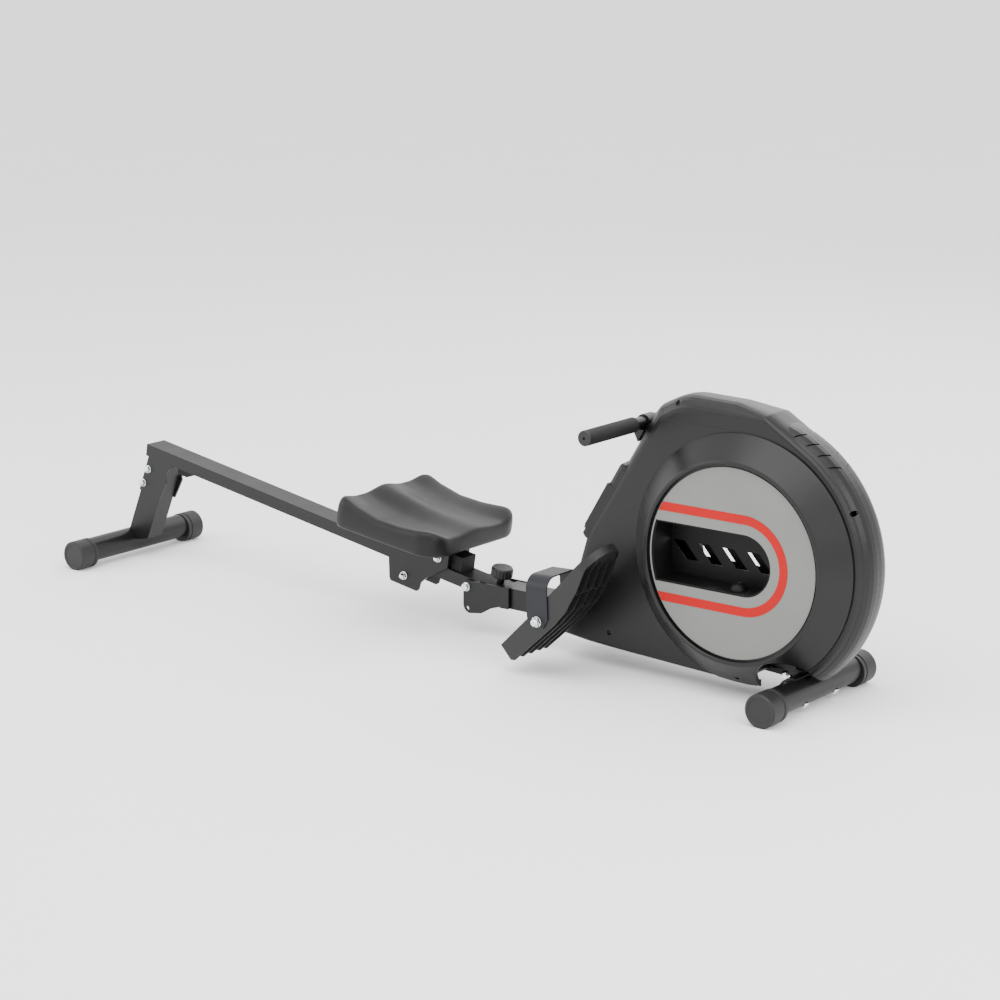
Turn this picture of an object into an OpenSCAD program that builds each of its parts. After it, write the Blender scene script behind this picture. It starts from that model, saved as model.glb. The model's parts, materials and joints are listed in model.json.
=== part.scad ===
// Folding magnetic rowing machine.
// Frame: +X from the rear foot towards the flywheel housing, +Y to the rower's left, +Z up.
// The origin lies on the floor below the middle of the machine. Lengths are in millimetres.

/* [Rail and seat] */
// Slope of the seat rail, higher at the rear, in degrees
rail_slope = 9.5; // [9:0.1:10]
// Width of the rail tube
rail_w = 50; // [46:1:52]
// Height of the rail tube
rail_h = 25; // [22:1:27]
// Wall of the rail tube
rail_wall = 2; // [1.5:0.5:3]
// Length of the rail behind the fold bolt
rail_rear = 876; // [850:1:900]
// Length of the seat pad along the rail
seat_len = 250; // [230:1:260]
// Width of the seat pad
seat_w = 272; // [240:1:280]

/* [Feet] */
// Outer diameter of both stabiliser tubes
foot_d = 50; // [46:1:52]
// Outer diameter of the stabiliser end caps
cap_d = 61; // [60:1:64]
// Distance of the front cap faces from the middle plane
front_half = 172; // [160:1:190]
// Distance of the rear cap faces from the middle plane
rear_half = 178; // [165:1:195]

/* [Housing] */
// Radius of the round rim of the housing
rim_r = 255; // [253:1:257]
// Half thickness of the housing at its flat side walls
side_half = 44; // [43:0.5:45]
// Half thickness of the housing at the raised ring
ring_half = 86; // [84:1:87]
// Wall of the housing shells
shell_wall = 3; // [2.5:0.5:3]
// Radius of the grey side disc
disc_r = 170; // [166:1:171]

/* [Drive] */
// Radius of the flywheel
wheel_r = 84; // [76:1:84]
// Thickness of the flywheel
wheel_t = 18; // [14:1:18]
// Radius of the strap drum's core
drum_r = 30; // [26:1:32]

/* [Handle and pedals] */
// Half length of the handle
handle_half = 192; // [170:1:220]
// Diameter of the foam grips
grip_d = 28; // [26:1:28]
// Width of a pedal
pedal_w = 98; // [90:1:104]
// Lean of the pedals from the floor, in degrees
pedal_lean = 42.8; // [38:0.2:46]

/* [Hidden] */
$fn = 64;
eps = 0.4;
gap = 0.3;
right = -1;
left = 1;

// Places, [x, z] unless noted
fold_at = [39, 92];
rear_foot_x = -894;
rear_bolts = [[-820, 199], [-836, 168]];
front_foot_x = 787;
cap_flat = 0.8;
cap_z = cap_d / 2 - cap_flat;
foot_z = cap_d - cap_flat - 1.5 - foot_d / 2;
drum_at = [658, 250];
disc_at = [665, 250];
wheel_at = [620, 402];
roller_at = [482, 444];
handle_at = [430, 459];
pedal_at = [329, 111];
knob_s = 55;
tube_z = [64, 104];
rail_top = 16;
rail_low = rail_top - rail_h;
rail_front = 72;
cap_len = 45;
foot_bolt_y = 50;
foot_bolt_lean = 40;
front_face = 59.2;
pocket_floor = 18.5;
pocket_sheet = 2.5;
window_half = 55;
window_x = 25;
face_at = [352, 298];
plate_in = 34;
plate_t = 4;
pedal_y = 90;
seat_mid = -137;
seat_rise = 2;
carriage_y = 28.5;
roller_r = 17;
lower_r = 20;

function arc(cx, cy, r, from, to, n = 12) =
    [for (i = [0:n]) let (t = from + (to - from) * i / n) [cx + r * cos(t), cy + r * sin(t)]];

// Children are drawn in a frame at the fold bolt: x along the rail, z square to it
module on_rail() {
    translate([fold_at[0], 0, fold_at[1]]) rotate([0, rail_slope, 0]) children();
}

// A flat outline drawn in x and z, given a thickness from y0 to y1
module slab(y0, y1) {
    translate([0, y1, 0]) rotate([90, 0, 0]) linear_extrude(y1 - y0) children();
}

// A round bar along y from y0 to y1
module rod(x, z, r, y0, y1) {
    translate([x, y0, z]) rotate([-90, 0, 0]) cylinder(r = r, h = y1 - y0);
}

module hex_rod(x, z, across, y0, y1) {
    translate([x, y0, z]) rotate([-90, 0, 0]) cylinder(d = across / cos(30), h = y1 - y0, $fn = 6);
}

// A domed cap nut that stands on the plane at y, pointing along side
module dome_nut(x, z, y, side, across = 13) {
    translate([x, y, z]) rotate([-90 * side, 0, 0]) {
        cylinder(d = across / cos(30), h = 5, $fn = 6);
        translate([0, 0, 5]) intersection() {
            sphere(d = across - 1);
            cylinder(d = across, h = across);
        }
    }
}

module both_sides() {
    children();
    mirror([0, 1, 0]) children();
}

// ---------------------------------------------------------------- main frame

module fold_plate() {
    polygon(concat(
        [[31, 98]],
        arc(47, 57, 16, 180, 285),
        [[74, 45], [96, 58], [120, 66], [140, 68], [140, 105], [38, 105]]));
}

module side_plate() {
    difference() {
        polygon([[452, 106], [482, 106], [486, 316], [760, 316], [758, 106], [790, 106],
            [790, 332], [690, 425], [640, 436], [600, 436], [505, 424], [496, 456], [473, 456]]);
        translate(wheel_at) circle(d = 12.4);
        translate(roller_at) circle(d = 8.1);
        translate([725, 350]) circle(d = 8.1);
    }
}

module main_tube() {
    difference() {
        translate([118, -25, tube_z[0]]) cube([650, 50, tube_z[1] - tube_z[0]]);
        translate([115, -23, tube_z[0] + 2]) cube([660, 46, tube_z[1] - tube_z[0] - 4]);
    }
    translate([764, -25, tube_z[0]]) cube([4, 50, tube_z[1] - tube_z[0]]);
}

module foot_saddle() {
    intersection() {
        difference() {
            rod(front_foot_x, foot_z, foot_d / 2 + 4.2, -66, 66);
            rod(front_foot_x, foot_z, foot_d / 2 + 0.2, -70, 70);
        }
        slab(-66, 66) polygon([[front_foot_x, foot_z], [front_foot_x - 60, foot_z + 10],
            [front_foot_x - 60, foot_z + 60], [front_foot_x + 14, foot_z + 60]]);
    }
}

module main_frame() {
    color("#1b1c1e") difference() {
        union() {
            difference() {
                union() {
                    both_sides() slab(27.5, 31.5) fold_plate();
                    both_sides() slab(24, 31.5) translate([118, 64]) square([20, 40]);
                }
                rod(fold_at[0], fold_at[1], 4.1, -40, 40);
                rod(41, 50, 4.1, -40, 40);
            }
            on_rail() translate([28, -28, rail_top + 0.8]) cube([62, 56, 4]);
            main_tube();
            difference() {
                translate([745, -25, 48]) cube([42, 50, 18]);
                rod(front_foot_x, foot_z, foot_d / 2 + 0.2, -30, 30);
            }
            rod(pedal_at[0], pedal_at[1], 13, -64, 64);
            both_sides() for (x = [456, 762]) translate([x, 24, 76]) cube([24, plate_in - 22, 34]);
            both_sides() slab(plate_in, plate_in + plate_t) side_plate();
            both_sides() slab(0, plate_in + 1) translate([774, 318]) square([12, 12]);
            foot_saddle();
        }
        rod(pedal_at[0], pedal_at[1], 6.05, -70, 70);
        on_rail() translate([knob_s, 0, 10]) cylinder(d = 8.6, h = 30);
        for (y = [-foot_bolt_y, foot_bolt_y]) translate([front_foot_x, y, foot_z])
            rotate([0, -foot_bolt_lean, 0]) cylinder(d = 8.4, h = 60);
    }
}

// ---------------------------------------------------------------- feet

module foot_tube(x, half) {
    difference() {
        rod(x, foot_z, foot_d / 2, -half, half);
        rod(x, foot_z, foot_d / 2 - 2, -half - 1, half + 1);
    }
}

module front_stabiliser() {
    color("#191a1c") difference() {
        foot_tube(front_foot_x, front_half - 6);
        for (y = [-foot_bolt_y, foot_bolt_y]) translate([front_foot_x, y, foot_z])
            rotate([0, -foot_bolt_lean, 0]) cylinder(d = 8.4, h = 80, center = true);
    }
}

// An end cap: round outside but for a flat below, with the tube's socket set above its centre
module end_cap(x, half) {
    difference() {
        translate([x, half - cap_len, cap_z]) rotate([-90, 0, 0]) rotate_extrude()
            polygon([[0, 0], [cap_d / 2 - 0.5, 0], [cap_d / 2, 0.5], [cap_d / 2, 7], [cap_d / 2 - 1.5, 8],
                [cap_d / 2 - 1.5, 11], [cap_d / 2, 12], [cap_d / 2, cap_len - 3],
                [cap_d / 2 - 3, cap_len], [cap_d / 2 - 7, cap_len], [cap_d / 2 - 8, cap_len - 1],
                [0, cap_len - 1]]);
        rod(x, foot_z, foot_d / 2 + 0.1, half - cap_len - 1, half - 5.9);
        // Narrow flat that stands on the floor
        translate([x - 20, half - cap_len - 1, -5]) cube([40, cap_len + 2, 5]);
    }
}

module front_caps() {
    color("#2a2b2e") both_sides() end_cap(front_foot_x, front_half);
}

module rear_caps() {
    color("#2a2b2e") both_sides() end_cap(rear_foot_x, rear_half);
}

module at_foot_bolts() {
    for (y = [-foot_bolt_y, foot_bolt_y]) translate([front_foot_x, y, foot_z])
        rotate([0, -foot_bolt_lean, 0]) children();
}

module front_foot_bolts() {
    color("silver") at_foot_bolts() {
        translate([0, 0, -foot_d / 2 - 1.2]) cylinder(d = 8, h = foot_d + 14);
        translate([0, 0, -foot_d / 2 - 1]) intersection() {
            translate([0, 0, 9]) sphere(r = 13);
            translate([0, 0, -6]) cylinder(d = 17, h = 6);
        }
    }
}

module front_foot_washers() {
    color("gainsboro") at_foot_bolts() translate([0, 0, foot_d / 2 + 4.3]) difference() {
        cylinder(d = 20, h = 1.8);
        translate([0, 0, -1]) cylinder(d = 8.4, h = 4);
    }
}

module front_foot_nuts() {
    color("silver") at_foot_bolts() translate([0, 0, foot_d / 2 + 6.2]) difference() {
        union() {
            cylinder(d = 13 / cos(30), h = 6.5, $fn = 6);
            translate([0, 0, 6.5]) intersection() {
                sphere(d = 12.4);
                cylinder(d = 13, h = 13);
            }
        }
        translate([0, 0, -1]) cylinder(d = 8.1, h = 9.2);
    }
}

// ---------------------------------------------------------------- housing

// Half of a body drawn around circles, with its edge rounded off towards the side wall
round_steps = 6;
module outline_ball(circles, half, shrink) {
    mid = shrink > 0 ? 1 : 0;
    hull() {
        for (c = circles) {
            r = max(c[2] - shrink, 1.5);
            flat = c[4];
            translate([c[0], mid, c[1]]) rotate([90, 0, 0])
                cylinder(r = r, h = flat - shrink + mid, $fn = c[3]);
            for (i = [1:round_steps]) {
                t = 90 * i / round_steps;
                translate([c[0], shrink - flat - (half - flat) * sin(t) + eps, c[1]]) rotate([90, 0, 0])
                    cylinder(r = r - min(c[5], r - 1) * (1 - cos(t)), h = eps, $fn = c[3]);
            }
        }
    }
}

// Circles that the outline is drawn around: [x, z, radius, sides, flat half width, depth of the rounding]
body_circles = [[drum_at[0], drum_at[1], rim_r, 120, 8, 31], [495, 472, 34, 40, 5, 29],
    [347, 237, 27, 24, 10, 19], [277, 52, 8, 16, 12, 7], [716, 40, 12, 16, 12, 11]];
// The hood rises over the top of the rim and runs out into it
hood_circles = [[495, 472, 34, 40, 5, 29], [548, 424, 100, 60, 8, 27], [628, 442, 80, 60, 8, 26],
    [700, 499, 12, 24, 8, 11],
    [drum_at[0], drum_at[1], rim_r - 7, 90, 10, 14]];

module turned(points) {
    translate([disc_at[0], 0, disc_at[1]]) rotate([90, 0, 0]) rotate_extrude($fn = 120) polygon(points);
}

lip_r = disc_r + 10;
recess = ring_half - 8;
ring_foot = side_half + 2.5;

module ring_outside() {
    turned([[0, 30], [224, 30], [224, ring_foot + 0.5], [lip_r + 2, ring_half - 1], [lip_r, ring_half],
        [disc_r + 6, ring_half], [disc_r + 4.5, ring_half - 1.5], [disc_r + 4.5, recess], [0, recess]]);
}

module ring_inside() {
    turned([[0, -5], [214, -5], [214, ring_foot + 1], [lip_r + 1, ring_half - 7],
        [disc_r + 7.5, ring_half - 7], [disc_r + 7.5, recess - shell_wall], [0, recess - shell_wall]]);
}

module window_outline(grow = 0) {
    intersection() {
        circle(r = disc_r - 3 + grow, $fn = 120);
        union() {
            translate([window_x, 0]) circle(r = window_half + grow);
            translate([-disc_r, -window_half - grow]) square([disc_r + window_x, 2 * (window_half + grow)]);
        }
    }
}

// Shell screws: [x, z, distance of the head's seat from the middle plane, radius of the boss]
shell_screws = [[520, 509, 24, 6.5], [877, 362, 15, 5.4], [382, 66, 34, 8], [669, 41, 34, 8]];
head_r = 4.6;

module housing_cuts() {
    // Open bottom edge
    translate([230, -120, -70]) rotate([0, 2.35, 0]) cube([700, 121, 116]);
    translate([700, -120, -40]) cube([200, 121, 68]);
    // Arch over the front foot
    rod(765, 32, 57, -120, 1);
    // Window
    translate([disc_at[0], 0, disc_at[1]]) rotate([90, 0, 0]) linear_extrude(120) window_outline(gap);
    // Mouth of the pull strap
    translate([420, -14, 449]) cube([50, 15, 15]);
    // Pedal tube
    rod(pedal_at[0], pedal_at[1], 14.5, -120, 1);
    // Main tube
    translate([250, -26, tube_z[0] - 1]) cube([90, 27, tube_z[1] - tube_z[0] + 2]);
    // Console and tension spindle
    on_front(0) translate([-52.3, -42.3, -16.3]) cube([104.6, 84.6, 40]);
    on_front(knob_along, -12) cylinder(r = 4.1, h = 20);
    // Counterbored screw holes
    for (p = shell_screws) {
        rod(p[0], p[1], head_r + 0.3, -60, -p[2]);
        rod(p[0], p[1], 2.1, -60, 1);
    }
}

module louvre_cuts() {
    for (i = [0:3]) {
        t = 64 - i * 6.4;
        translate([drum_at[0] + (rim_r + 1) * cos(t), -4, drum_at[1] + (rim_r + 1) * sin(t)])
            rotate([0, 90 - t, 0]) rotate([15.5, 0, -24]) translate([-1.5, -33, -0.9]) cube([3, 27, 9]);
    }
}

module near_shell() {
    difference() {
        housing_shell();
        housing_cuts();
        louvre_cuts();
    }
}

// The raised pod on the front face that carries the console and the tension knob
module console_pod() {
    on_front(0) hull() {
        for (a = [-62, 92], y = [-33, 0.3]) translate([a, y, -14]) cylinder(r = 6, h = 16, $fn = 16);
        for (a = [-62, 92], y = [-34, 0.3]) translate([a, y, -20]) cylinder(r = 8, h = 15, $fn = 16);
    }
}

module housing_shell() {
    difference() {
        union() {
            outline_ball(body_circles, side_half, 0);
            outline_ball(hood_circles, side_half - 0.5, 0);
            console_pod();
            ring_outside();
        }
        outline_ball(body_circles, side_half, shell_wall);
        ring_inside();
        translate([200, -0.05, -50]) cube([800, 60, 700]);
    }
    for (p = shell_screws) rod(p[0], p[1], p[3], p[2] > 30 ? -42 : -p[2] - 1, p[0] < 400 ? -25.2 : -0.05);
}

module housing_right() {
    color("#1d1e20") near_shell();
}

module housing_left() {
    color("#1d1e20") mirror([0, 1, 0]) near_shell();
}

module disc_plate(side) {
    translate([disc_at[0], side * (recess + 1.6), disc_at[1]]) rotate([90, 0, 0])
        linear_extrude(1.5, center = true) difference() {
            circle(r = disc_r, $fn = 120);
            window_outline(0.5);
        }
}

module side_disc_right() {
    color("#8b8d88") disc_plate(right);
}

module side_disc_left() {
    color("#8b8d88") disc_plate(left);
}

stripe_in = 19;
stripe_w = 16;
module stripe_plate(side) {
    translate([disc_at[0], side * (recess + 2.7), disc_at[1]]) rotate([90, 0, 0])
        linear_extrude(0.6, center = true) intersection() {
            circle(r = disc_r - 1, $fn = 120);
            difference() {
                union() {
                    translate([window_x, 0]) circle(r = window_half + stripe_in + stripe_w);
                    translate([-disc_r, -window_half - stripe_in - stripe_w])
                        square([disc_r + window_x, 2 * (window_half + stripe_in + stripe_w)]);
                }
                translate([window_x, 0]) circle(r = window_half + stripe_in);
                translate([-disc_r - 1, -window_half - stripe_in])
                    square([disc_r + 1 + window_x, 2 * (window_half + stripe_in)]);
            }
        }
}

module stripe_right() {
    color("#e52b2e") stripe_plate(right);
}

module stripe_left() {
    color("#e52b2e") stripe_plate(left);
}

slot_pitch = 52;
module pocket_slots() {
    for (i = [0:3]) translate([disc_at[0] - 162 + i * slot_pitch, disc_at[1]])
        polygon([[0, 8], [26, 8], [56, -26], [30, -26]]);
}

module pocket_ring(out, height, grow) {
    translate([disc_at[0], out, disc_at[1]]) rotate([90, 0, 0]) linear_extrude(height) difference() {
        window_outline(grow);
        window_outline(-2.5);
    }
}

module pocket() {
    difference() {
        union() {
            pocket_ring(recess - 0.2, recess - 0.2 - pocket_floor, 0);
            pocket_ring(recess - shell_wall - 0.2, 2, 6);
            translate([disc_at[0], pocket_floor + pocket_sheet, disc_at[1]]) rotate([90, 0, 0])
                linear_extrude(pocket_sheet) window_outline(0);
            intersection() {
                translate([663, 50, 195]) sphere(r = 15.5);
                translate([640, 30, 195.5]) cube([50, 40, 20]);
            }
        }
        slab(pocket_floor - 1, pocket_floor + pocket_sheet + 1) pocket_slots();
    }
}

module window_pocket_right() {
    color("#141517") mirror([0, 1, 0]) pocket();
}

module window_pocket_left() {
    color("#141517") pocket();
}

module housing_screws() {
    color("#303134") both_sides() for (p = shell_screws) difference() {
        union() {
            rod(p[0], p[1], head_r, p[2] + 0.05, p[2] + 2.6);
            rod(p[0], p[1], 2, p[2] > 30 ? 26 : 6, p[2] + 1);
        }
        slab(p[2] + 1.6, p[2] + 3) translate([p[0], p[1]]) {
            square([6, 1.2], center = true);
            square([1.2, 6], center = true);
        }
    }
}

// ---------------------------------------------------------------- drive

module flywheel_axle() {
    color("gray") rod(wheel_at[0], wheel_at[1], 6, -plate_in - plate_t - 11, plate_in + plate_t + 11);
}

module axle_nuts() {
    color("silver") both_sides() difference() {
        hex_rod(wheel_at[0], wheel_at[1], 19, plate_in + plate_t + 0.1, plate_in + plate_t + 8);
        rod(wheel_at[0], wheel_at[1], 6.05, 30, 60);
    }
}

module flywheel_bearings() {
    color("lightgray") for (y = [[-11, -4], [4, 11], [17, 29]]) difference() {
        rod(wheel_at[0], wheel_at[1], 14, y[0], y[1]);
        rod(wheel_at[0], wheel_at[1], 6.05, y[0] - 1, y[1] + 1);
    }
}

module flywheel() {
    color("#b9bbbd") translate([wheel_at[0], 14, wheel_at[1]]) rotate([-90, 0, 0]) difference() {
        rotate_extrude($fn = 120) polygon([[14.05, 0.6], [24, 0.6], [24, 5], [wheel_r - 20, 5],
            [wheel_r - 17, 0], [wheel_r - 1, 0], [wheel_r, 1], [wheel_r, wheel_t - 1],
            [wheel_r - 1, wheel_t], [wheel_r - 17, wheel_t], [wheel_r - 20, wheel_t - 5],
            [24, wheel_t - 5], [24, wheel_t - 0.6], [14.05, wheel_t - 0.6]]);
        for (a = [0:60:300]) rotate(a) translate([44, 0, -1]) cylinder(r = 7, h = wheel_t + 2);
    }
}

module strap_drum() {
    color("#3a3b3e") translate([wheel_at[0], -12, wheel_at[1]]) rotate([-90, 0, 0]) rotate_extrude()
        polygon([[14.05, 0.5], [44, 0.5], [44, 1.8], [drum_r, 1.8], [drum_r, 22.2], [44, 22.2],
            [44, 23.5], [14.05, 23.5]]);
}

module recoil_spring_case() {
    color("#2d2e31") difference() {
        union() {
            rod(wheel_at[0], wheel_at[1], 38, -31, -12.6);
            for (x = [-30, 22]) slab(-plate_in + 0.1, -30) translate([wheel_at[0] + x, wheel_at[1] + 4])
                square([8, 12]);
        }
        rod(wheel_at[0], wheel_at[1], 6.3, -40, -5);
        rod(wheel_at[0], wheel_at[1], 35.5, -29, -10);
    }
}

// The brake arm reaches around the flywheel's rim from its pivot on the side plates
arm_pivot = [725, 350];
module magnet_arm() {
    color("#8f9194") difference() {
        union() {
            slab(13, 31) {
                intersection() {
                    translate(wheel_at) difference() {
                        circle(r = wheel_r + 12, $fn = 96);
                        circle(r = wheel_r + 6, $fn = 96);
                    }
                    translate(wheel_at) polygon([[0, 0], [140, -46], [140, 140], [126, 140]]);
                }
                polygon([[703, 372], [714, 372], [733, 350], [729, 326], [719, 326], [717, 350]]);
            }
            slab(-4, 31) translate([719, 326]) square([10, 9]);
        }
        rod(arm_pivot[0], arm_pivot[1], 4.05, 0, 40);
    }
}

module magnets() {
    color("#55575a") slab(15, 29) intersection() {
        translate(wheel_at) difference() {
            circle(r = wheel_r + 5.9, $fn = 96);
            circle(r = wheel_r + 2.5, $fn = 96);
        }
        translate(wheel_at) for (a = [0, 18, 36]) rotate(a) translate([60, -8]) square([60, 16]);
    }
}

module magnet_pivot_pin() {
    color("silver") {
        rod(arm_pivot[0], arm_pivot[1], 4, -plate_in - plate_t, plate_in + plate_t);
        both_sides() rod(arm_pivot[0], arm_pivot[1], 6.5, plate_in + plate_t, plate_in + plate_t + 2);
    }
}

// The brake cable runs straight from the tension spindle to the tail of the arm
cable_from = [405, 357];
cable_to = [715.5, 331];
module tension_cable() {
    d = cable_to - cable_from;
    color("#101010") translate([cable_from[0], 0, cable_from[1]]) rotate([0, atan2(d[0], d[1]), 0])
        cylinder(r = 2.5, h = norm(d));
}

module speed_sensor() {
    color("#202124") translate([542, 24, 322]) cube([12, plate_in - 24.05, 12]);
}

// ---------------------------------------------------------------- console and tension knob

// A frame on the sloping front face: x up the slope, z out of the face towards the rower
module on_front(along, out = 0) {
    translate([face_at[0], 0, face_at[1]]) rotate([0, -front_face, 0]) translate([along, 0, out])
        children();
}

module console_case() {
    color("#17181a") on_front(0) difference() {
        union() {
            translate([-52, -42, -16]) cube([104, 84, 20]);
            translate([-49, -39, 3]) cube([98, 78, 4]);
        }
        translate([-10, -33, 5]) cube([50, 66, 8]);
        translate([-30, 0, -2]) cylinder(d = 16.6, h = 10);
    }
}

module console_screen() {
    color("#2b3a35") on_front(0) translate([-9.8, -32.8, 5.05]) cube([49.6, 65.6, 1.6]);
}

module console_button() {
    color("#b02a2c") on_front(-30) translate([0, 0, -0.5]) cylinder(d = 16, h = 9.5);
}

knob_along = 74;
knob_r = 16;
module tension_knob() {
    color("#26272a") on_front(knob_along, 2.4) {
        difference() {
            rotate_extrude() polygon([[0, 0], [knob_r, 0], [knob_r, 7], [knob_r - 2, 9], [0, 9]]);
            for (a = [0:30:330]) rotate(a) translate([knob_r + 1.4, 0, 1.5]) cylinder(r = 3, h = 20);
            translate([7, -1, 8]) cube([6, 2, 4]);
        }
        translate([0, 0, -14]) cylinder(r = 4, h = 15);
    }
}

// ---------------------------------------------------------------- handle and pull strap

module guide_roller_pin() {
    color("silver") {
        rod(roller_at[0], roller_at[1], 4, -plate_in - plate_t, plate_in + plate_t);
        both_sides() rod(roller_at[0], roller_at[1], 6, plate_in + plate_t, plate_in + plate_t + 1.5);
    }
}

module guide_roller() {
    color("#3a3b3e") translate([roller_at[0], -16, roller_at[1]]) rotate([-90, 0, 0]) rotate_extrude()
        polygon([[4.05, 0], [13, 0], [13, 3], [10, 3.5], [10, 28.5], [13, 29], [13, 32], [4.05, 32]]);
}

module handle_cradle() {
    color("#232427") both_sides() slab(14, 26)
        polygon([[419, 447.4], [440.5, 447.4], [427.2, 425], [419, 441]]);
}

module handle_bar() {
    color("#1c1d1f") difference() {
        rod(handle_at[0], handle_at[1], 11, 4 - handle_half, handle_half - 4);
        rod(handle_at[0], handle_at[1], 9.5, -handle_half, handle_half);
    }
}

module handle_grips() {
    color("#242527") both_sides() difference() {
        rod(handle_at[0], handle_at[1], grip_d / 2, 45, handle_half - 3.1);
        rod(handle_at[0], handle_at[1], 11.05, 40, handle_half);
    }
}

module handle_end_caps() {
    color("#3b3c3f") both_sides() difference() {
        union() {
            translate([handle_at[0], handle_half - 3, handle_at[1]]) rotate([-90, 0, 0]) rotate_extrude()
                polygon([[0, 0], [grip_d / 2, 0], [grip_d / 2, 1.5], [grip_d / 2 - 1.5, 3], [0, 3]]);
            rod(handle_at[0], handle_at[1], 9.45, handle_half - 16, handle_half - 2);
        }
        rod(handle_at[0], handle_at[1], 2.5, handle_half - 5, handle_half + 1);
    }
}

module strap_clip() {
    color("#2a2b2d") difference() {
        union() {
            rod(handle_at[0], handle_at[1], 14.5, -13, 13);
            translate([handle_at[0] + 13, -13, handle_at[1] - 6]) cube([9, 26, 6]);
        }
        rod(handle_at[0], handle_at[1], 11.05, -20, 20);
    }
}

strap_t = 1.4;
strap_y = 10;
strap_z = roller_at[1] + 10.2;
module pull_strap() {
    color("#111214") translate([handle_at[0] + 22.1, -strap_y, strap_z])
        cube([roller_at[0] - handle_at[0] - 22.1, 2 * strap_y, strap_t]);
}

// Inside the housing the strap drops from the guide roller onto the top of the drum
module strap_run() {
    color("#111214") slab(-strap_y, strap_y) polygon([[roller_at[0] + 0.1, strap_z],
        [roller_at[0] + 0.1, strap_z + strap_t], [wheel_at[0] - 4, wheel_at[1] + drum_r + 7.8],
        [wheel_at[0] - 4, wheel_at[1] + drum_r + 6.4]]);
}

module wound_strap() {
    color("#111214") slab(-strap_y, strap_y) translate(wheel_at) difference() {
        circle(r = drum_r + 6, $fn = 96);
        circle(r = drum_r + 0.05, $fn = 96);
    }
}

// ---------------------------------------------------------------- pedals

// A frame at a pedal's axle: x along the sole towards the toe, z out of the sole
module at_pedal() {
    translate([pedal_at[0], 0, pedal_at[1]]) rotate([0, -pedal_lean, 0]) children();
}

sole_rim = [[215, 31], [208, 33], [140, 28], [67, 23], [0, 18], [-60, 15.5], [-102, 14]];
sole_side = concat([[-102, -19], [-95, -25], [20, -25], [62, -21], [110, -6], [160, 17], [212, 24]],
    sole_rim);
sole_inside = [[-98, -17], [-92, -30], [20, -22], [60, -18], [107, -3], [157, 20], [225, 20],
    [225, 60], [-98, 60]];
plate_line = [[-98, 6], [-60, 7.5], [0, 10], [67, 15], [140, 20], [216, 25]];

module sole_plan() {
    half = pedal_w / 2;
    translate([-110, pedal_y]) square([247, pedal_w]);
    translate([137, pedal_y + half]) scale([50 / 49, 1]) circle(r = half, $fn = 48);
}

module pedal() {
    at_pedal() difference() {
        union() {
            intersection() {
                union() {
                    // Side walls
                    for (y = [pedal_y, pedal_y + pedal_w - 3]) slab(y, y + 3) polygon(sole_side);
                    // Footplate, 4 thick
                    slab(pedal_y, pedal_y + pedal_w)
                        polygon(concat(plate_line, [for (i = [5:-1:0]) plate_line[i] - [0, 4]]));
                    // Rim around the toe
                    difference() {
                        slab(pedal_y, pedal_y + pedal_w)
                            polygon([[120, 10], [216, 20], [216, 33], [208, 33], [140, 28], [120, 27]]);
                        translate([-3, 0, -60]) linear_extrude(140) intersection() {
                            sole_plan();
                            translate([0, pedal_y + 3]) square([400, pedal_w - 6]);
                        }
                    }
                    // Ribs under the sole
                    for (y = [24.5, 49, 73.5]) slab(pedal_y + y - 1.5, pedal_y + y + 1.5)
                        polygon([[-98, -20], [-92, -25], [20, -25], [62, -21], [110, -6], [160, 17],
                            [212, 23], [140, 18], [67, 13], [0, 8], [-98, 4]]);
                }
                translate([0, 0, -60]) linear_extrude(140) sole_plan();
            }
            for (u = [-55, 50, 95]) translate([u, pedal_y + 2, u < 80 ? -18 : -8])
                cube([3, pedal_w - 4, u < 80 ? 26 : 22]);
            // Hub
            rod(0, 0, 13, pedal_y, pedal_y + pedal_w);
            // Heel wall
            slab(pedal_y, pedal_y + pedal_w) polygon([[-102, -19], [-98, -19], [-98, 14], [-102, 14]]);
        }
        rod(0, 0, 6.05, pedal_y - 5, pedal_y + pedal_w + 5);
    }
}

module pedal_left() {
    color("#4a4b4d") pedal();
}

module pedal_right() {
    color("#4a4b4d") mirror([0, 1, 0]) pedal();
}

// The strap's section across the pedal: straight legs and a rounded top, with ends round the axle
strap_lean = 40;
strap_leg = 56;
module foot_strap() {
    mid = pedal_y + pedal_w / 2;
    r = pedal_w / 2 + 2.8;
    at_pedal() rotate([0, strap_lean, 0]) difference() {
        intersection() {
            translate([-23, 0, 0]) rotate([90, 0, 90]) linear_extrude(46) difference() {
                union() {
                    translate([mid - r, -12]) square([2 * r, strap_leg + 12]);
                    translate([mid - r + 26, strap_leg]) square([2 * r - 52, 26]);
                    for (y = [mid - r + 26, mid + r - 26]) translate([y, strap_leg]) circle(r = 26);
                }
                translate([mid - r + 2.5, -13]) square([2 * r - 5, strap_leg + 13]);
                translate([mid - r + 26, strap_leg - 1]) square([2 * r - 52, 24.5]);
                for (y = [mid - r + 26, mid + r - 26]) translate([y, strap_leg]) circle(r = 23.5);
            }
            slab(pedal_y - 10, pedal_y + pedal_w + 10)
                polygon([[-23.5, 90], [-23.5, 6], [-12, -11.5], [12, -11.5], [23.5, 6], [23.5, 90]]);
        }
        rod(0, 0, 6.4, pedal_y - 10, pedal_y + pedal_w + 10);
    }
}

module foot_strap_left() {
    color("#1f2023") foot_strap();
}

module foot_strap_right() {
    color("#1f2023") mirror([0, 1, 0]) foot_strap();
}

axle_half = pedal_y + pedal_w + 12;
module pedal_axle() {
    color("silver") {
        rod(pedal_at[0], pedal_at[1], 6, -axle_half, axle_half);
        both_sides() rod(pedal_at[0], pedal_at[1], 10, 64.1, pedal_y - 3.1);
    }
}

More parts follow.
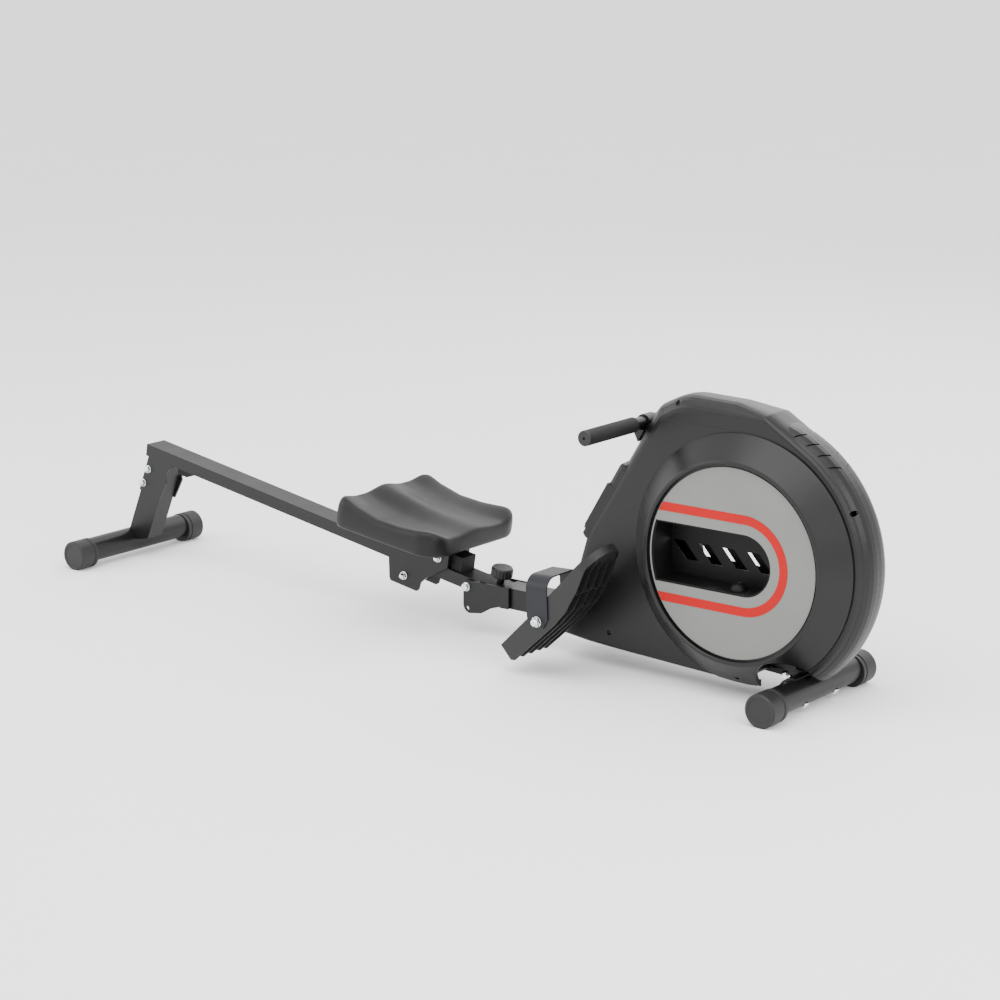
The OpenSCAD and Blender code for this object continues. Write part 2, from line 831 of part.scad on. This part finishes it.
module pedal_nuts() {
    color("silver") both_sides() difference() {
        union() {
            rod(pedal_at[0], pedal_at[1], 10, pedal_y + pedal_w + 3.1, pedal_y + pedal_w + 4.7);
            dome_nut(pedal_at[0], pedal_at[1], pedal_y + pedal_w + 4.7, 1, 17);
        }
        rod(pedal_at[0], pedal_at[1], 6.05, 100, axle_half + 0.1);
    }
}

// ---------------------------------------------------------------- rail

module fold_bolt() {
    color("silver") {
        rod(fold_at[0], fold_at[1], 4, -39, 33);
        rod(fold_at[0], fold_at[1], 8.5, -33.2, -31.6);
        rod(fold_at[0], fold_at[1], 8.5, 31.6, 33.2);
        hex_rod(fold_at[0], fold_at[1], 13, -39, -33.2);
        dome_nut(fold_at[0], fold_at[1], 33.2, 1);
    }
}

module lock_knob() {
    color("#2b2c2f") on_rail() translate([knob_s, 0, 0]) difference() {
        union() {
            translate([0, 0, 33]) rotate_extrude() polygon([[0, 0], [19, 0], [21, 2], [21, 16],
                [19, 19], [0, 19]]);
            translate([0, 0, rail_top + 5.1]) cylinder(r = 7, h = 13);
            translate([0, 0, 12.5]) cylinder(r = 4, h = 20);
        }
        for (a = [0:20:340]) rotate(a) translate([22, 0, 20]) cylinder(r = 2, h = 40);
    }
}

module rail_tube() {
    difference() {
        translate([-rail_rear, -rail_w / 2, rail_low]) cube([rail_rear + rail_front, rail_w, rail_h]);
        translate([-rail_rear - 1, -rail_w / 2 + rail_wall, rail_low + rail_wall])
            cube([rail_rear + rail_front + 2, rail_w - 2 * rail_wall, rail_h - 2 * rail_wall]);
    }
}

module rear_gusset() {
    polygon(concat([[-818, 229], [-849, 152], [-793, 133]], arc(-740, 182, 31, 195, 110, 8),
        [[-748, 219]]));
}

module rail() {
    color("#1a1b1d") difference() {
        union() {
            on_rail() {
                rail_tube();
                translate([-rail_rear, -rail_w / 2 + 0.5, rail_low + 0.5])
                    cube([3, rail_w - 1, rail_h - 1]);
                both_sides() rod(0, 0, 7, 21, 27.3);
            }
            both_sides() slab(20.8, 25) rear_gusset();
        }
        rod(fold_at[0], fold_at[1], 4.06, -40, 40);
        on_rail() translate([knob_s, 0, 8]) cylinder(r = 5.2, h = 20);
        for (p = rear_bolts) rod(p[0], p[1], 4.1, -40, 40);
    }
}

module rail_stops() {
    color("#141414") on_rail() {
        translate([-50.5, -20, rail_top + 0.02]) cube([24.5, 40, 30]);
        translate([-790, -15, rail_low - 16]) cube([26, 30, 15.98]);
    }
}

// The hollow post leans back from the rail down to the rear foot
post_outside = [[-896, 40], [-862, 40], [-834, 46], [-761, 216.2], [-818, 225.7]];
post_inside = [[-892, 46], [-864, 46], [-836.5, 50], [-765, 214.8], [-816.5, 223.3]];
module rear_stabiliser() {
    color("#191a1c") difference() {
        union() {
            foot_tube(rear_foot_x, rear_half - 6);
            slab(-20.4, 20.4) polygon(post_outside);
        }
        slab(-18.4, 18.4) polygon(post_inside);
        for (p = rear_bolts) rod(p[0], p[1], 4.1, -40, 40);
        rod(rear_foot_x, foot_z, foot_d / 2 - 2, -rear_half, rear_half);
    }
}

module rear_post_bolts() {
    color("silver") for (p = rear_bolts) {
        rod(p[0], p[1], 4, -30, 30);
        both_sides() rod(p[0], p[1], 8, 25.1, 26.7);
        dome_nut(p[0], p[1], -26.7, -1);
        dome_nut(p[0], p[1], 26.7, 1);
    }
}

// ---------------------------------------------------------------- seat

axle_front = -75;
axle_rear = -172;
axle_low = -152;
axle_top_z = rail_top + roller_r + gap;
axle_low_z = rail_low - lower_r - gap;

module carriage_side() {
    difference() {
        polygon([[-197, 55], [-197, 1.5], [-188, -45], [-184, -50.5], [-118, -50.5], [-113, -46],
            [-110.5, -30.6], [-100, -18], [-51, 20], [-51, 55]]);
        for (p = [[axle_front, axle_top_z], [axle_rear, axle_top_z], [axle_low, axle_low_z]])
            translate(p) circle(r = 4.1);
    }
}

module seat_carriage() {
    color("#1b1c1e") on_rail() difference() {
        union() {
            both_sides() slab(carriage_y, carriage_y + 3.5) carriage_side();
            translate([-197, -carriage_y - 1, 52]) cube([146, 2 * carriage_y + 2, 3]);
            translate([-54, -carriage_y - 1, 22]) cube([3, 2 * carriage_y + 2, 31]);
        }
    }
}

module seat_base() {
    color("#202123") on_rail() slab(-85, 85)
        polygon([[-235, 55.05], [-40, 55.05], [-40, 66.2], [-235, 59.2]]);
}

module seat_plan() {
    rear = 20;
    front = 44;
    half = seat_w / 2;
    l = seat_len / 2;
    union() {
        translate([-l, -half + rear]) square([seat_len - front, seat_w - 2 * rear]);
        translate([-l + rear, -half]) square([seat_len - rear - front, seat_w]);
        translate([l - front - 1, -half + front]) square([front + 1, seat_w - 2 * front]);
        for (s = [-1, 1]) {
            translate([-l + rear, s * (half - rear)]) circle(r = rear);
            translate([l - front, s * (half - front)]) circle(r = front);
        }
    }
}

module seat_pad() {
    color("#1e1f22") on_rail() intersection() {
        translate([seat_mid, 0, 0]) rotate([0, -seat_rise, 0]) translate([0, 0, 50]) linear_extrude(90)
            seat_plan();
        slab(-200, 200) polygon([[-270, 58.3], [-30, 67], [-18, 69], [-12, 78], [-12, 106],
            [-19, 117], [-40, 117], [-75, 111], [-163, 104], [-215, 109], [-250, 120], [-262, 120],
            [-270, 108]]);
    }
}

module axle_bolt(s, z) {
    out = carriage_y + 3.5;
    rod(s, z, 4, -out - 3, out + 3);
    both_sides() rod(s, z, 8, out + 0.05, out + 1.6);
    dome_nut(s, z, out + 1.6, 1);
    dome_nut(s, z, -out - 1.6, -1);
}

module carriage_bolts() {
    color("silver") on_rail() {
        axle_bolt(axle_front, axle_top_z);
        axle_bolt(axle_rear, axle_top_z);
        axle_bolt(axle_low, axle_low_z);
    }
}

module roller(s, z, r) {
    color("#d8d8d4") on_rail() translate([s, -23, z]) rotate([-90, 0, 0]) rotate_extrude()
        polygon([[4.06, 0], [9, 0], [9, 2], [r - 1, 2], [r, 3], [r, 43], [r - 1, 44], [9, 44], [9, 46],
            [4.06, 46]]);
}

module roller_front() {
    roller(axle_front, axle_top_z, roller_r);
}

module roller_rear() {
    roller(axle_rear, axle_top_z, roller_r);
}

module roller_lower() {
    roller(axle_low, axle_low_z, lower_r);
}

// ---------------------------------------------------------------- drawing

main_frame();
front_stabiliser();
front_caps();
front_foot_bolts();
front_foot_washers();
front_foot_nuts();
housing_right();
housing_left();
side_disc_right();
side_disc_left();
stripe_right();
stripe_left();
window_pocket_right();
window_pocket_left();
housing_screws();
flywheel_axle();
flywheel_bearings();
axle_nuts();
flywheel();
strap_drum();
recoil_spring_case();
magnet_arm();
magnets();
magnet_pivot_pin();
tension_cable();
tension_knob();
speed_sensor();
console_case();
console_screen();
console_button();
guide_roller();
guide_roller_pin();
handle_cradle();
handle_bar();
handle_grips();
handle_end_caps();
strap_clip();
pull_strap();
strap_run();
wound_strap();
pedal_axle();
pedal_nuts();
pedal_right();
pedal_left();
foot_strap_right();
foot_strap_left();
fold_bolt();
lock_knob();
rail();
rail_stops();
rear_stabiliser();
rear_caps();
rear_post_bolts();
seat_carriage();
seat_base();
seat_pad();
carriage_bolts();
roller_front();
roller_rear();
roller_lower();
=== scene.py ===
import json
import math
import bpy
import numpy as np
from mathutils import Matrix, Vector


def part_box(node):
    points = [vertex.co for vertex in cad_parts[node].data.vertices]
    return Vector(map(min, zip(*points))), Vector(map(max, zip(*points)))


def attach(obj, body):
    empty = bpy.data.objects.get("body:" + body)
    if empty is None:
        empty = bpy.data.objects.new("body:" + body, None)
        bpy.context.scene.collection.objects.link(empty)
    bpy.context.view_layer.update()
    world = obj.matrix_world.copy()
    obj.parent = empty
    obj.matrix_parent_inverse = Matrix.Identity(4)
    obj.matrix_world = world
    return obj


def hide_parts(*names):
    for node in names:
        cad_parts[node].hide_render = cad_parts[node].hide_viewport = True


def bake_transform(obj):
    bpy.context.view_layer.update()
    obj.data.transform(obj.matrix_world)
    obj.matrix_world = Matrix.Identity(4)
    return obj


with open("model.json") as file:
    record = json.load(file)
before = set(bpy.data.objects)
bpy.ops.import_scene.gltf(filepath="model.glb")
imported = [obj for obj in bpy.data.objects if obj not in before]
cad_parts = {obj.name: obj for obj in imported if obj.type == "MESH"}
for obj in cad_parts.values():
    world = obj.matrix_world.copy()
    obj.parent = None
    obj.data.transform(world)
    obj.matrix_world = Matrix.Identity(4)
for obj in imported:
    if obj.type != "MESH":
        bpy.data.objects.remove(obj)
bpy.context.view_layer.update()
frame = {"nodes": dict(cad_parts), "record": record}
nodes = frame["nodes"]


# ------------------------------------------------------------ materials

BUMP_DEPTH = 0.0004


def grain_height(nt, coords, scale):
    """Fine moulded or painted grain."""
    fine = nt.nodes.new("ShaderNodeTexNoise")
    fine.inputs["Scale"].default_value = scale
    fine.inputs["Detail"].default_value = 2.0
    nt.links.new(coords.outputs["Object"], fine.inputs["Vector"])
    return fine.outputs["Fac"]


def weave_height(nt, coords, scale):
    """Threads that cross at right angles."""
    highest = nt.nodes.new("ShaderNodeMath")
    highest.operation = "MAXIMUM"
    for i, direction in enumerate(("X", "Y")):
        wave = nt.nodes.new("ShaderNodeTexWave")
        wave.bands_direction = direction
        wave.inputs["Scale"].default_value = scale
        nt.links.new(coords.outputs["Object"], wave.inputs["Vector"])
        nt.links.new(wave.outputs["Fac"], highest.inputs[i])
    return highest.outputs["Value"]


def material(name, colour, rough, metal=0.0, grain=0.0, grain_scale=400.0, mottle=0.06, mottle_scale=14.0,
             coat=0.0, rough_vary=0.08, sheen=0.0, weave=0.0, gloss=0.5):
    """A procedural surface: slow colour and roughness change, with a fine grain or a weave as bump."""
    m = bpy.data.materials.new(name)
    m.use_nodes = True
    nt = m.node_tree
    bsdf = nt.nodes["Principled BSDF"]
    bsdf.inputs["Metallic"].default_value = metal
    bsdf.inputs["Coat Weight"].default_value = coat
    bsdf.inputs["Coat Roughness"].default_value = 0.25
    bsdf.inputs["Sheen Weight"].default_value = sheen
    bsdf.inputs["Specular IOR Level"].default_value = gloss
    coords = nt.nodes.new("ShaderNodeTexCoord")
    slow = nt.nodes.new("ShaderNodeTexNoise")
    slow.inputs["Scale"].default_value = mottle_scale
    slow.inputs["Detail"].default_value = 5.0
    nt.links.new(coords.outputs["Object"], slow.inputs["Vector"])
    ramp = nt.nodes.new("ShaderNodeValToRGB")
    dark = [c * (1 - mottle * 2) for c in colour]
    light = [min(1.0, c * (1 + mottle * 2)) for c in colour]
    ramp.color_ramp.elements[0].position = 0.3
    ramp.color_ramp.elements[1].position = 0.7
    ramp.color_ramp.elements[0].color = (*dark, 1)
    ramp.color_ramp.elements[1].color = (*light, 1)
    nt.links.new(slow.outputs["Fac"], ramp.inputs["Fac"])
    nt.links.new(ramp.outputs["Color"], bsdf.inputs["Base Color"])
    rough_map = nt.nodes.new("ShaderNodeMapRange")
    rough_map.inputs["To Min"].default_value = max(0.03, rough - rough_vary)
    rough_map.inputs["To Max"].default_value = min(1.0, rough + rough_vary)
    nt.links.new(slow.outputs["Fac"], rough_map.inputs["Value"])
    nt.links.new(rough_map.outputs["Result"], bsdf.inputs["Roughness"])
    if grain > 0:
        bump = nt.nodes.new("ShaderNodeBump")
        bump.inputs["Strength"].default_value = grain
        bump.inputs["Distance"].default_value = BUMP_DEPTH
        height = weave_height(nt, coords, weave) if weave > 0 else grain_height(nt, coords, grain_scale)
        nt.links.new(height, bump.inputs["Height"])
        nt.links.new(bump.outputs["Normal"], bsdf.inputs["Normal"])
    return m


LOOKS = {
    "frame_paint": material("frame_paint", (0.0045, 0.0046, 0.0048), 0.36, grain=0.15, grain_scale=900,
                            gloss=0.28),
    "rail_paint": material("rail_paint", (0.0055, 0.0056, 0.0058), 0.38, grain=0.10, grain_scale=800,
                           gloss=0.28),
    "housing_plastic": material("housing_plastic", (0.0042, 0.0042, 0.0043), 0.34, grain=0.25,
                                grain_scale=1400, gloss=0.3),
    "pocket_plastic": material("pocket_plastic", (0.003, 0.003, 0.0031), 0.5, grain=0.2,
                               grain_scale=1200, gloss=0.2),
    "disc_grey": material("disc_grey", (0.15, 0.156, 0.143), 0.6, grain=0.2, grain_scale=1500,
                          mottle=0.02, gloss=0.35),
    "stripe_red": material("stripe_red", (0.36, 0.0015, 0.0025), 0.6, mottle=0.02, gloss=0.2),
    "cap_plastic": material("cap_plastic", (0.012, 0.0122, 0.0125), 0.5, grain=0.3, grain_scale=1300,
                            gloss=0.3),
    "chrome_hardware": material("chrome_hardware", (0.72, 0.73, 0.75), 0.16, metal=1.0, rough_vary=0.06),
    "steel": material("steel", (0.42, 0.43, 0.44), 0.3, metal=1.0),
    "flywheel_iron": material("flywheel_iron", (0.2, 0.2, 0.21), 0.4, metal=0.9, grain=0.2, grain_scale=600),
    "magnet": material("magnet", (0.06, 0.06, 0.065), 0.5, metal=0.5),
    "knob_plastic": material("knob_plastic", (0.0075, 0.0076, 0.008), 0.42, grain=0.25,
                             grain_scale=1300, gloss=0.3),
    "console_plastic": material("console_plastic", (0.0045, 0.0046, 0.005), 0.3, grain=0.1, gloss=0.28),
    "screen": material("screen", (0.10, 0.125, 0.10), 0.12, mottle=0.02, coat=0.6),
    "button_plastic": material("button_plastic", (0.5, 0.02, 0.02), 0.3, mottle=0.02, coat=0.3),
    "foam": material("foam", (0.009, 0.0091, 0.0095), 0.7, grain=0.8, grain_scale=900, mottle=0.08,
                     gloss=0.25),
    "webbing": material("webbing", (0.004, 0.004, 0.0044), 0.75, grain=0.8, weave=160.0, sheen=0.2,
                        gloss=0.2),
    "strap_rubber": material("strap_rubber", (0.006, 0.0068, 0.0095), 0.42, grain=0.2, grain_scale=700,
                             gloss=0.28),
    "pedal_plastic": material("pedal_plastic", (0.011, 0.011, 0.0115), 0.42, grain=0.35,
                              grain_scale=1200, gloss=0.3),
    "roller_nylon": material("roller_nylon", (0.6, 0.6, 0.56), 0.45, mottle=0.02),
    "seat_cover": material("seat_cover", (0.0052, 0.0052, 0.0053), 0.44, grain=0.35, grain_scale=750,
                           mottle=0.1, gloss=0.24),
    "rubber_block": material("rubber_block", (0.006, 0.006, 0.0065), 0.6, grain=0.4, grain_scale=700,
                             gloss=0.2),
}

for row in frame["record"]["subparts"]:
    ob = nodes[row["node"]]
    ob.data.materials.clear()
    ob.data.materials.append(LOOKS[row["material_slot"]])


def shade(ob, angle=30.0):
    """Smooth faces that meet at less than the angle."""
    for p in ob.data.polygons:
        p.use_smooth = True
    ob.data.set_sharp_from_angle(angle=math.radians(angle))


def weighted(ob):
    """Large flat faces keep their own direction, so the light runs smoothly round the edges."""
    w = ob.modifiers.new("face_weighted", "WEIGHTED_NORMAL")
    w.keep_sharp = True
    w.weight = 60


for name, ob in nodes.items():
    if name != "seat_pad":
        shade(ob, 30.0)
for name in ("housing_right", "housing_left"):
    weighted(nodes[name])


# ------------------------------------------------------------ rail frame

RAIL_SLOPE = math.radians(9.5)
ALONG = Vector((math.cos(RAIL_SLOPE), 0, -math.sin(RAIL_SLOPE)))
UP = Vector((math.sin(RAIL_SLOPE), 0, math.cos(RAIL_SLOPE)))
FOLD_BOLT = Vector((0.039, 0, 0.092))


def rail_point(s, y, n):
    """Where a point is that lies s along the rail, y across it and n square to it, in mm."""
    return FOLD_BOLT + ALONG * (s / 1000) + UP * (n / 1000) + Vector((0, y / 1000, 0))


def new_mesh(name, verts, faces, slot, smooth=True):
    """A drawn piece with its material."""
    me = bpy.data.meshes.new(name)
    me.from_pydata([tuple(v) for v in verts], [], faces)
    me.update()
    ob = bpy.data.objects.new(name, me)
    bpy.context.scene.collection.objects.link(ob)
    me.materials.append(LOOKS[slot])
    if smooth:
        for p in me.polygons:
            p.use_smooth = True
    return ob


# ------------------------------------------------------------ seat

SEAT_REAR, SEAT_FRONT, SEAT_HALF = -262.0, -12.0, 136.0
CORNER_FRONT, CORNER_REAR = 45, 20
FAR_OUTSIDE = 400.0
BOTTOM_REAR, BOTTOM_RISE = 59.0, 9.0


def smoothstep(a, b, x):
    """Rises from 0 at a to 1 at b with level ends."""
    t = np.clip((x - a) / (b - a), 0.0, 1.0)
    return t * t * (3 - 2 * t)


def seat_height(s, y):
    """Height of the cushion's crown over the rail, before its edge is rounded: two scoops for the legs
    either side of a ridge that runs forward from the middle of the raised back."""
    across = abs(y) / SEAT_HALF
    side = np.interp(s, [-262, -245, -215, -163, -110, -75, -40, -12],
                     [121, 120, 111, 103.5, 106, 111, 117, 119])
    stations = [-262, -245, -215, -163, -110, -60, -12]
    valley = np.interp(s, stations, [114, 112, 105, 98.5, 98, 101, 104])
    ridge = np.interp(s, stations, [122, 121.5, 117, 110, 106, 106.5, 109])
    to_rim = smoothstep(0.55, 0.93, across)
    to_ridge = 1 - smoothstep(0.0, 0.42, across)
    return valley + (side - valley) * to_rim + (ridge - valley) * to_ridge


def outline_radius(angle, half_len):
    """Distance from the seat's middle to its outline, a rectangle with round corners, larger at the front.
    The edge is found by halving the range between a point inside and one outside."""
    c, s = math.cos(angle), math.sin(angle)
    corner = CORNER_FRONT if c > 0 else CORNER_REAR
    lo, hi = 0.0, FAR_OUTSIDE
    for _ in range(40):
        mid = (lo + hi) / 2
        x, y = abs(mid * c), abs(mid * s)
        inside = x <= half_len and y <= SEAT_HALF
        if inside and x > half_len - corner and y > SEAT_HALF - corner:
            inside = (x - half_len + corner) ** 2 + (y - SEAT_HALF + corner) ** 2 <= corner ** 2
        lo, hi = (mid, hi) if inside else (lo, mid)
    return lo


def make_seat():
    """The moulded cushion as rings of points from the bottom, up the edge and over the crown."""
    centre = (SEAT_REAR + SEAT_FRONT) / 2
    half_len = (SEAT_FRONT - SEAT_REAR) / 2
    around = 160
    verts, rings = [], []

    def bottom(s):
        return BOTTOM_REAR + (s - SEAT_REAR) / (SEAT_FRONT - SEAT_REAR) * BOTTOM_RISE

    # Levels up the edge: share of the outline, and height from the bottom (0) to the crown (1)
    profile = [(0.90, 0.0), (0.955, 0.0), (0.98, 0.03), (0.993, 0.10), (1.0, 0.22), (1.0, 0.45),
               (0.998, 0.62), (0.992, 0.76), (0.982, 0.86), (0.967, 0.935), (0.947, 0.98), (0.92, 1.0)]
    # Shares of the outline over the top, at the crown's height
    inner = [0.88, 0.83, 0.77, 0.70, 0.62, 0.54, 0.46, 0.38, 0.30, 0.22, 0.14, 0.07]
    angles = [2 * math.pi * i / around for i in range(around)]
    radii = [outline_radius(a, half_len) for a in angles]

    def ring(share, height):
        ids = []
        for i in range(around):
            r = radii[i] * share
            s, y = centre + r * math.cos(angles[i]), r * math.sin(angles[i])
            low = bottom(s)
            top = float(seat_height(s, y))
            n = low + (top - low) * height
            ids.append(len(verts))
            verts.append(rail_point(s, y, n))
        rings.append(ids)

    for share, height in profile:
        ring(share, height)
    for share in inner:
        ring(share, 1.0)
    top_mid = len(verts)
    verts.append(rail_point(centre, 0, float(seat_height(centre, 0))))
    low_mid = len(verts)
    verts.append(rail_point(centre, 0, bottom(centre)))
    faces = []
    for a, b in zip(rings, rings[1:]):
        for i in range(around):
            j = (i + 1) % around
            faces.append((a[i], a[j], b[j], b[i]))
    for i in range(around):
        j = (i + 1) % around
        faces.append((rings[-1][i], rings[-1][j], top_mid))
        faces.append((rings[0][j], rings[0][i], low_mid))
    ob = new_mesh("seat_cushion", verts, faces, "seat_cover")
    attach(ob, "seat")
    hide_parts("seat_pad")
    return ob


make_seat()


# ------------------------------------------------------------ pull strap

STRAP_HALF = 0.01
INTO_CLIP = 0.004


def make_pull_strap():
    """The ribbon between the handle's clip and the mouth of the housing, drawn in steps along its length."""
    lo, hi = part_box("pull_strap")
    z0, z1 = lo[2], hi[2]
    x0, x1 = lo[0] - INTO_CLIP, hi[0]
    steps = 40
    verts, faces = [], []
    for i in range(steps + 1):
        x = x0 + (x1 - x0) * i / steps
        for y, z in ((-STRAP_HALF, z0), (STRAP_HALF, z0), (STRAP_HALF, z1), (-STRAP_HALF, z1)):
            verts.append((x, y, z))
    for i in range(steps):
        for k in range(4):
            a, b = i * 4 + k, i * 4 + (k + 1) % 4
            faces.append((a, b, b + 4, a + 4))
    faces.append((0, 3, 2, 1))
    e = steps * 4
    faces.append((e, e + 1, e + 2, e + 3))
    ob = new_mesh("pull_strap_webbing", verts, faces, "webbing", smooth=False)
    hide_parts("pull_strap")
    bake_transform(ob)
    return ob


make_pull_strap()


# ------------------------------------------------------------ stage, light, camera

def plane(name, half, mat):
    me = bpy.data.meshes.new(name)
    corners = [(-half, -half, 0), (half, -half, 0), (half, half, 0), (-half, half, 0)]
    me.from_pydata(corners, [], [(0, 1, 2, 3)])
    ob = bpy.data.objects.new(name, me)
    bpy.context.scene.collection.objects.link(ob)
    me.materials.append(mat)
    return ob


floor_mat = material("floor_white", (0.93, 0.93, 0.93), 0.8, mottle=0.004, mottle_scale=2.0, rough_vary=0.02)
plane("floor", 30, floor_mat)


def area_light(name, place, target, size, power):
    data = bpy.data.lights.new(name, "AREA")
    data.shape = "RECTANGLE"
    data.size, data.size_y = size
    data.energy = power
    ob = bpy.data.objects.new(name, data)
    bpy.context.scene.collection.objects.link(ob)
    ob.location = place
    ob.rotation_mode = "QUATERNION"
    ob.rotation_quaternion = (Vector(place) - Vector(target)).to_track_quat("Z", "Y")
    return ob


area_light("key_top", (0.6, -1.6, 3.6), (0, 0, 0.2), (3.5, 3.0), 125)
area_light("left_fill", (-3.2, -2.4, 1.8), (-0.1, 0, 0.25), (2.4, 2.0), 60)
area_light("right_fill", (3.4, -0.8, 1.9), (0.5, 0, 0.3), (2.0, 2.4), 60)
area_light("back_rim", (0.2, 3.2, 2.6), (0, 0, 0.3), (4.0, 2.0), 60)

world = bpy.data.worlds.new("studio")
bpy.context.scene.world = world
world.use_nodes = True
world.node_tree.nodes["Background"].inputs["Color"].default_value = (1.0, 1.0, 1.0, 1)
world.node_tree.nodes["Background"].inputs["Strength"].default_value = 1.9

cam_data = bpy.data.cameras.new("camera")
cam = bpy.data.objects.new("camera", cam_data)
bpy.context.scene.collection.objects.link(cam)
bpy.context.scene.camera = cam
cam_data.sensor_width = 36.0
cam_data.lens = 93.3
cam_data.clip_end = 200.0
azimuth, elevation = math.radians(38.11), math.radians(13.55)
cam.location = (3.0226, -3.7322, 1.4068)
back = Vector((math.sin(azimuth) * math.cos(elevation), -math.cos(azimuth) * math.cos(elevation),
               math.sin(elevation)))
cam.rotation_mode = "QUATERNION"
cam.rotation_quaternion = (-back).to_track_quat("-Z", "Y")
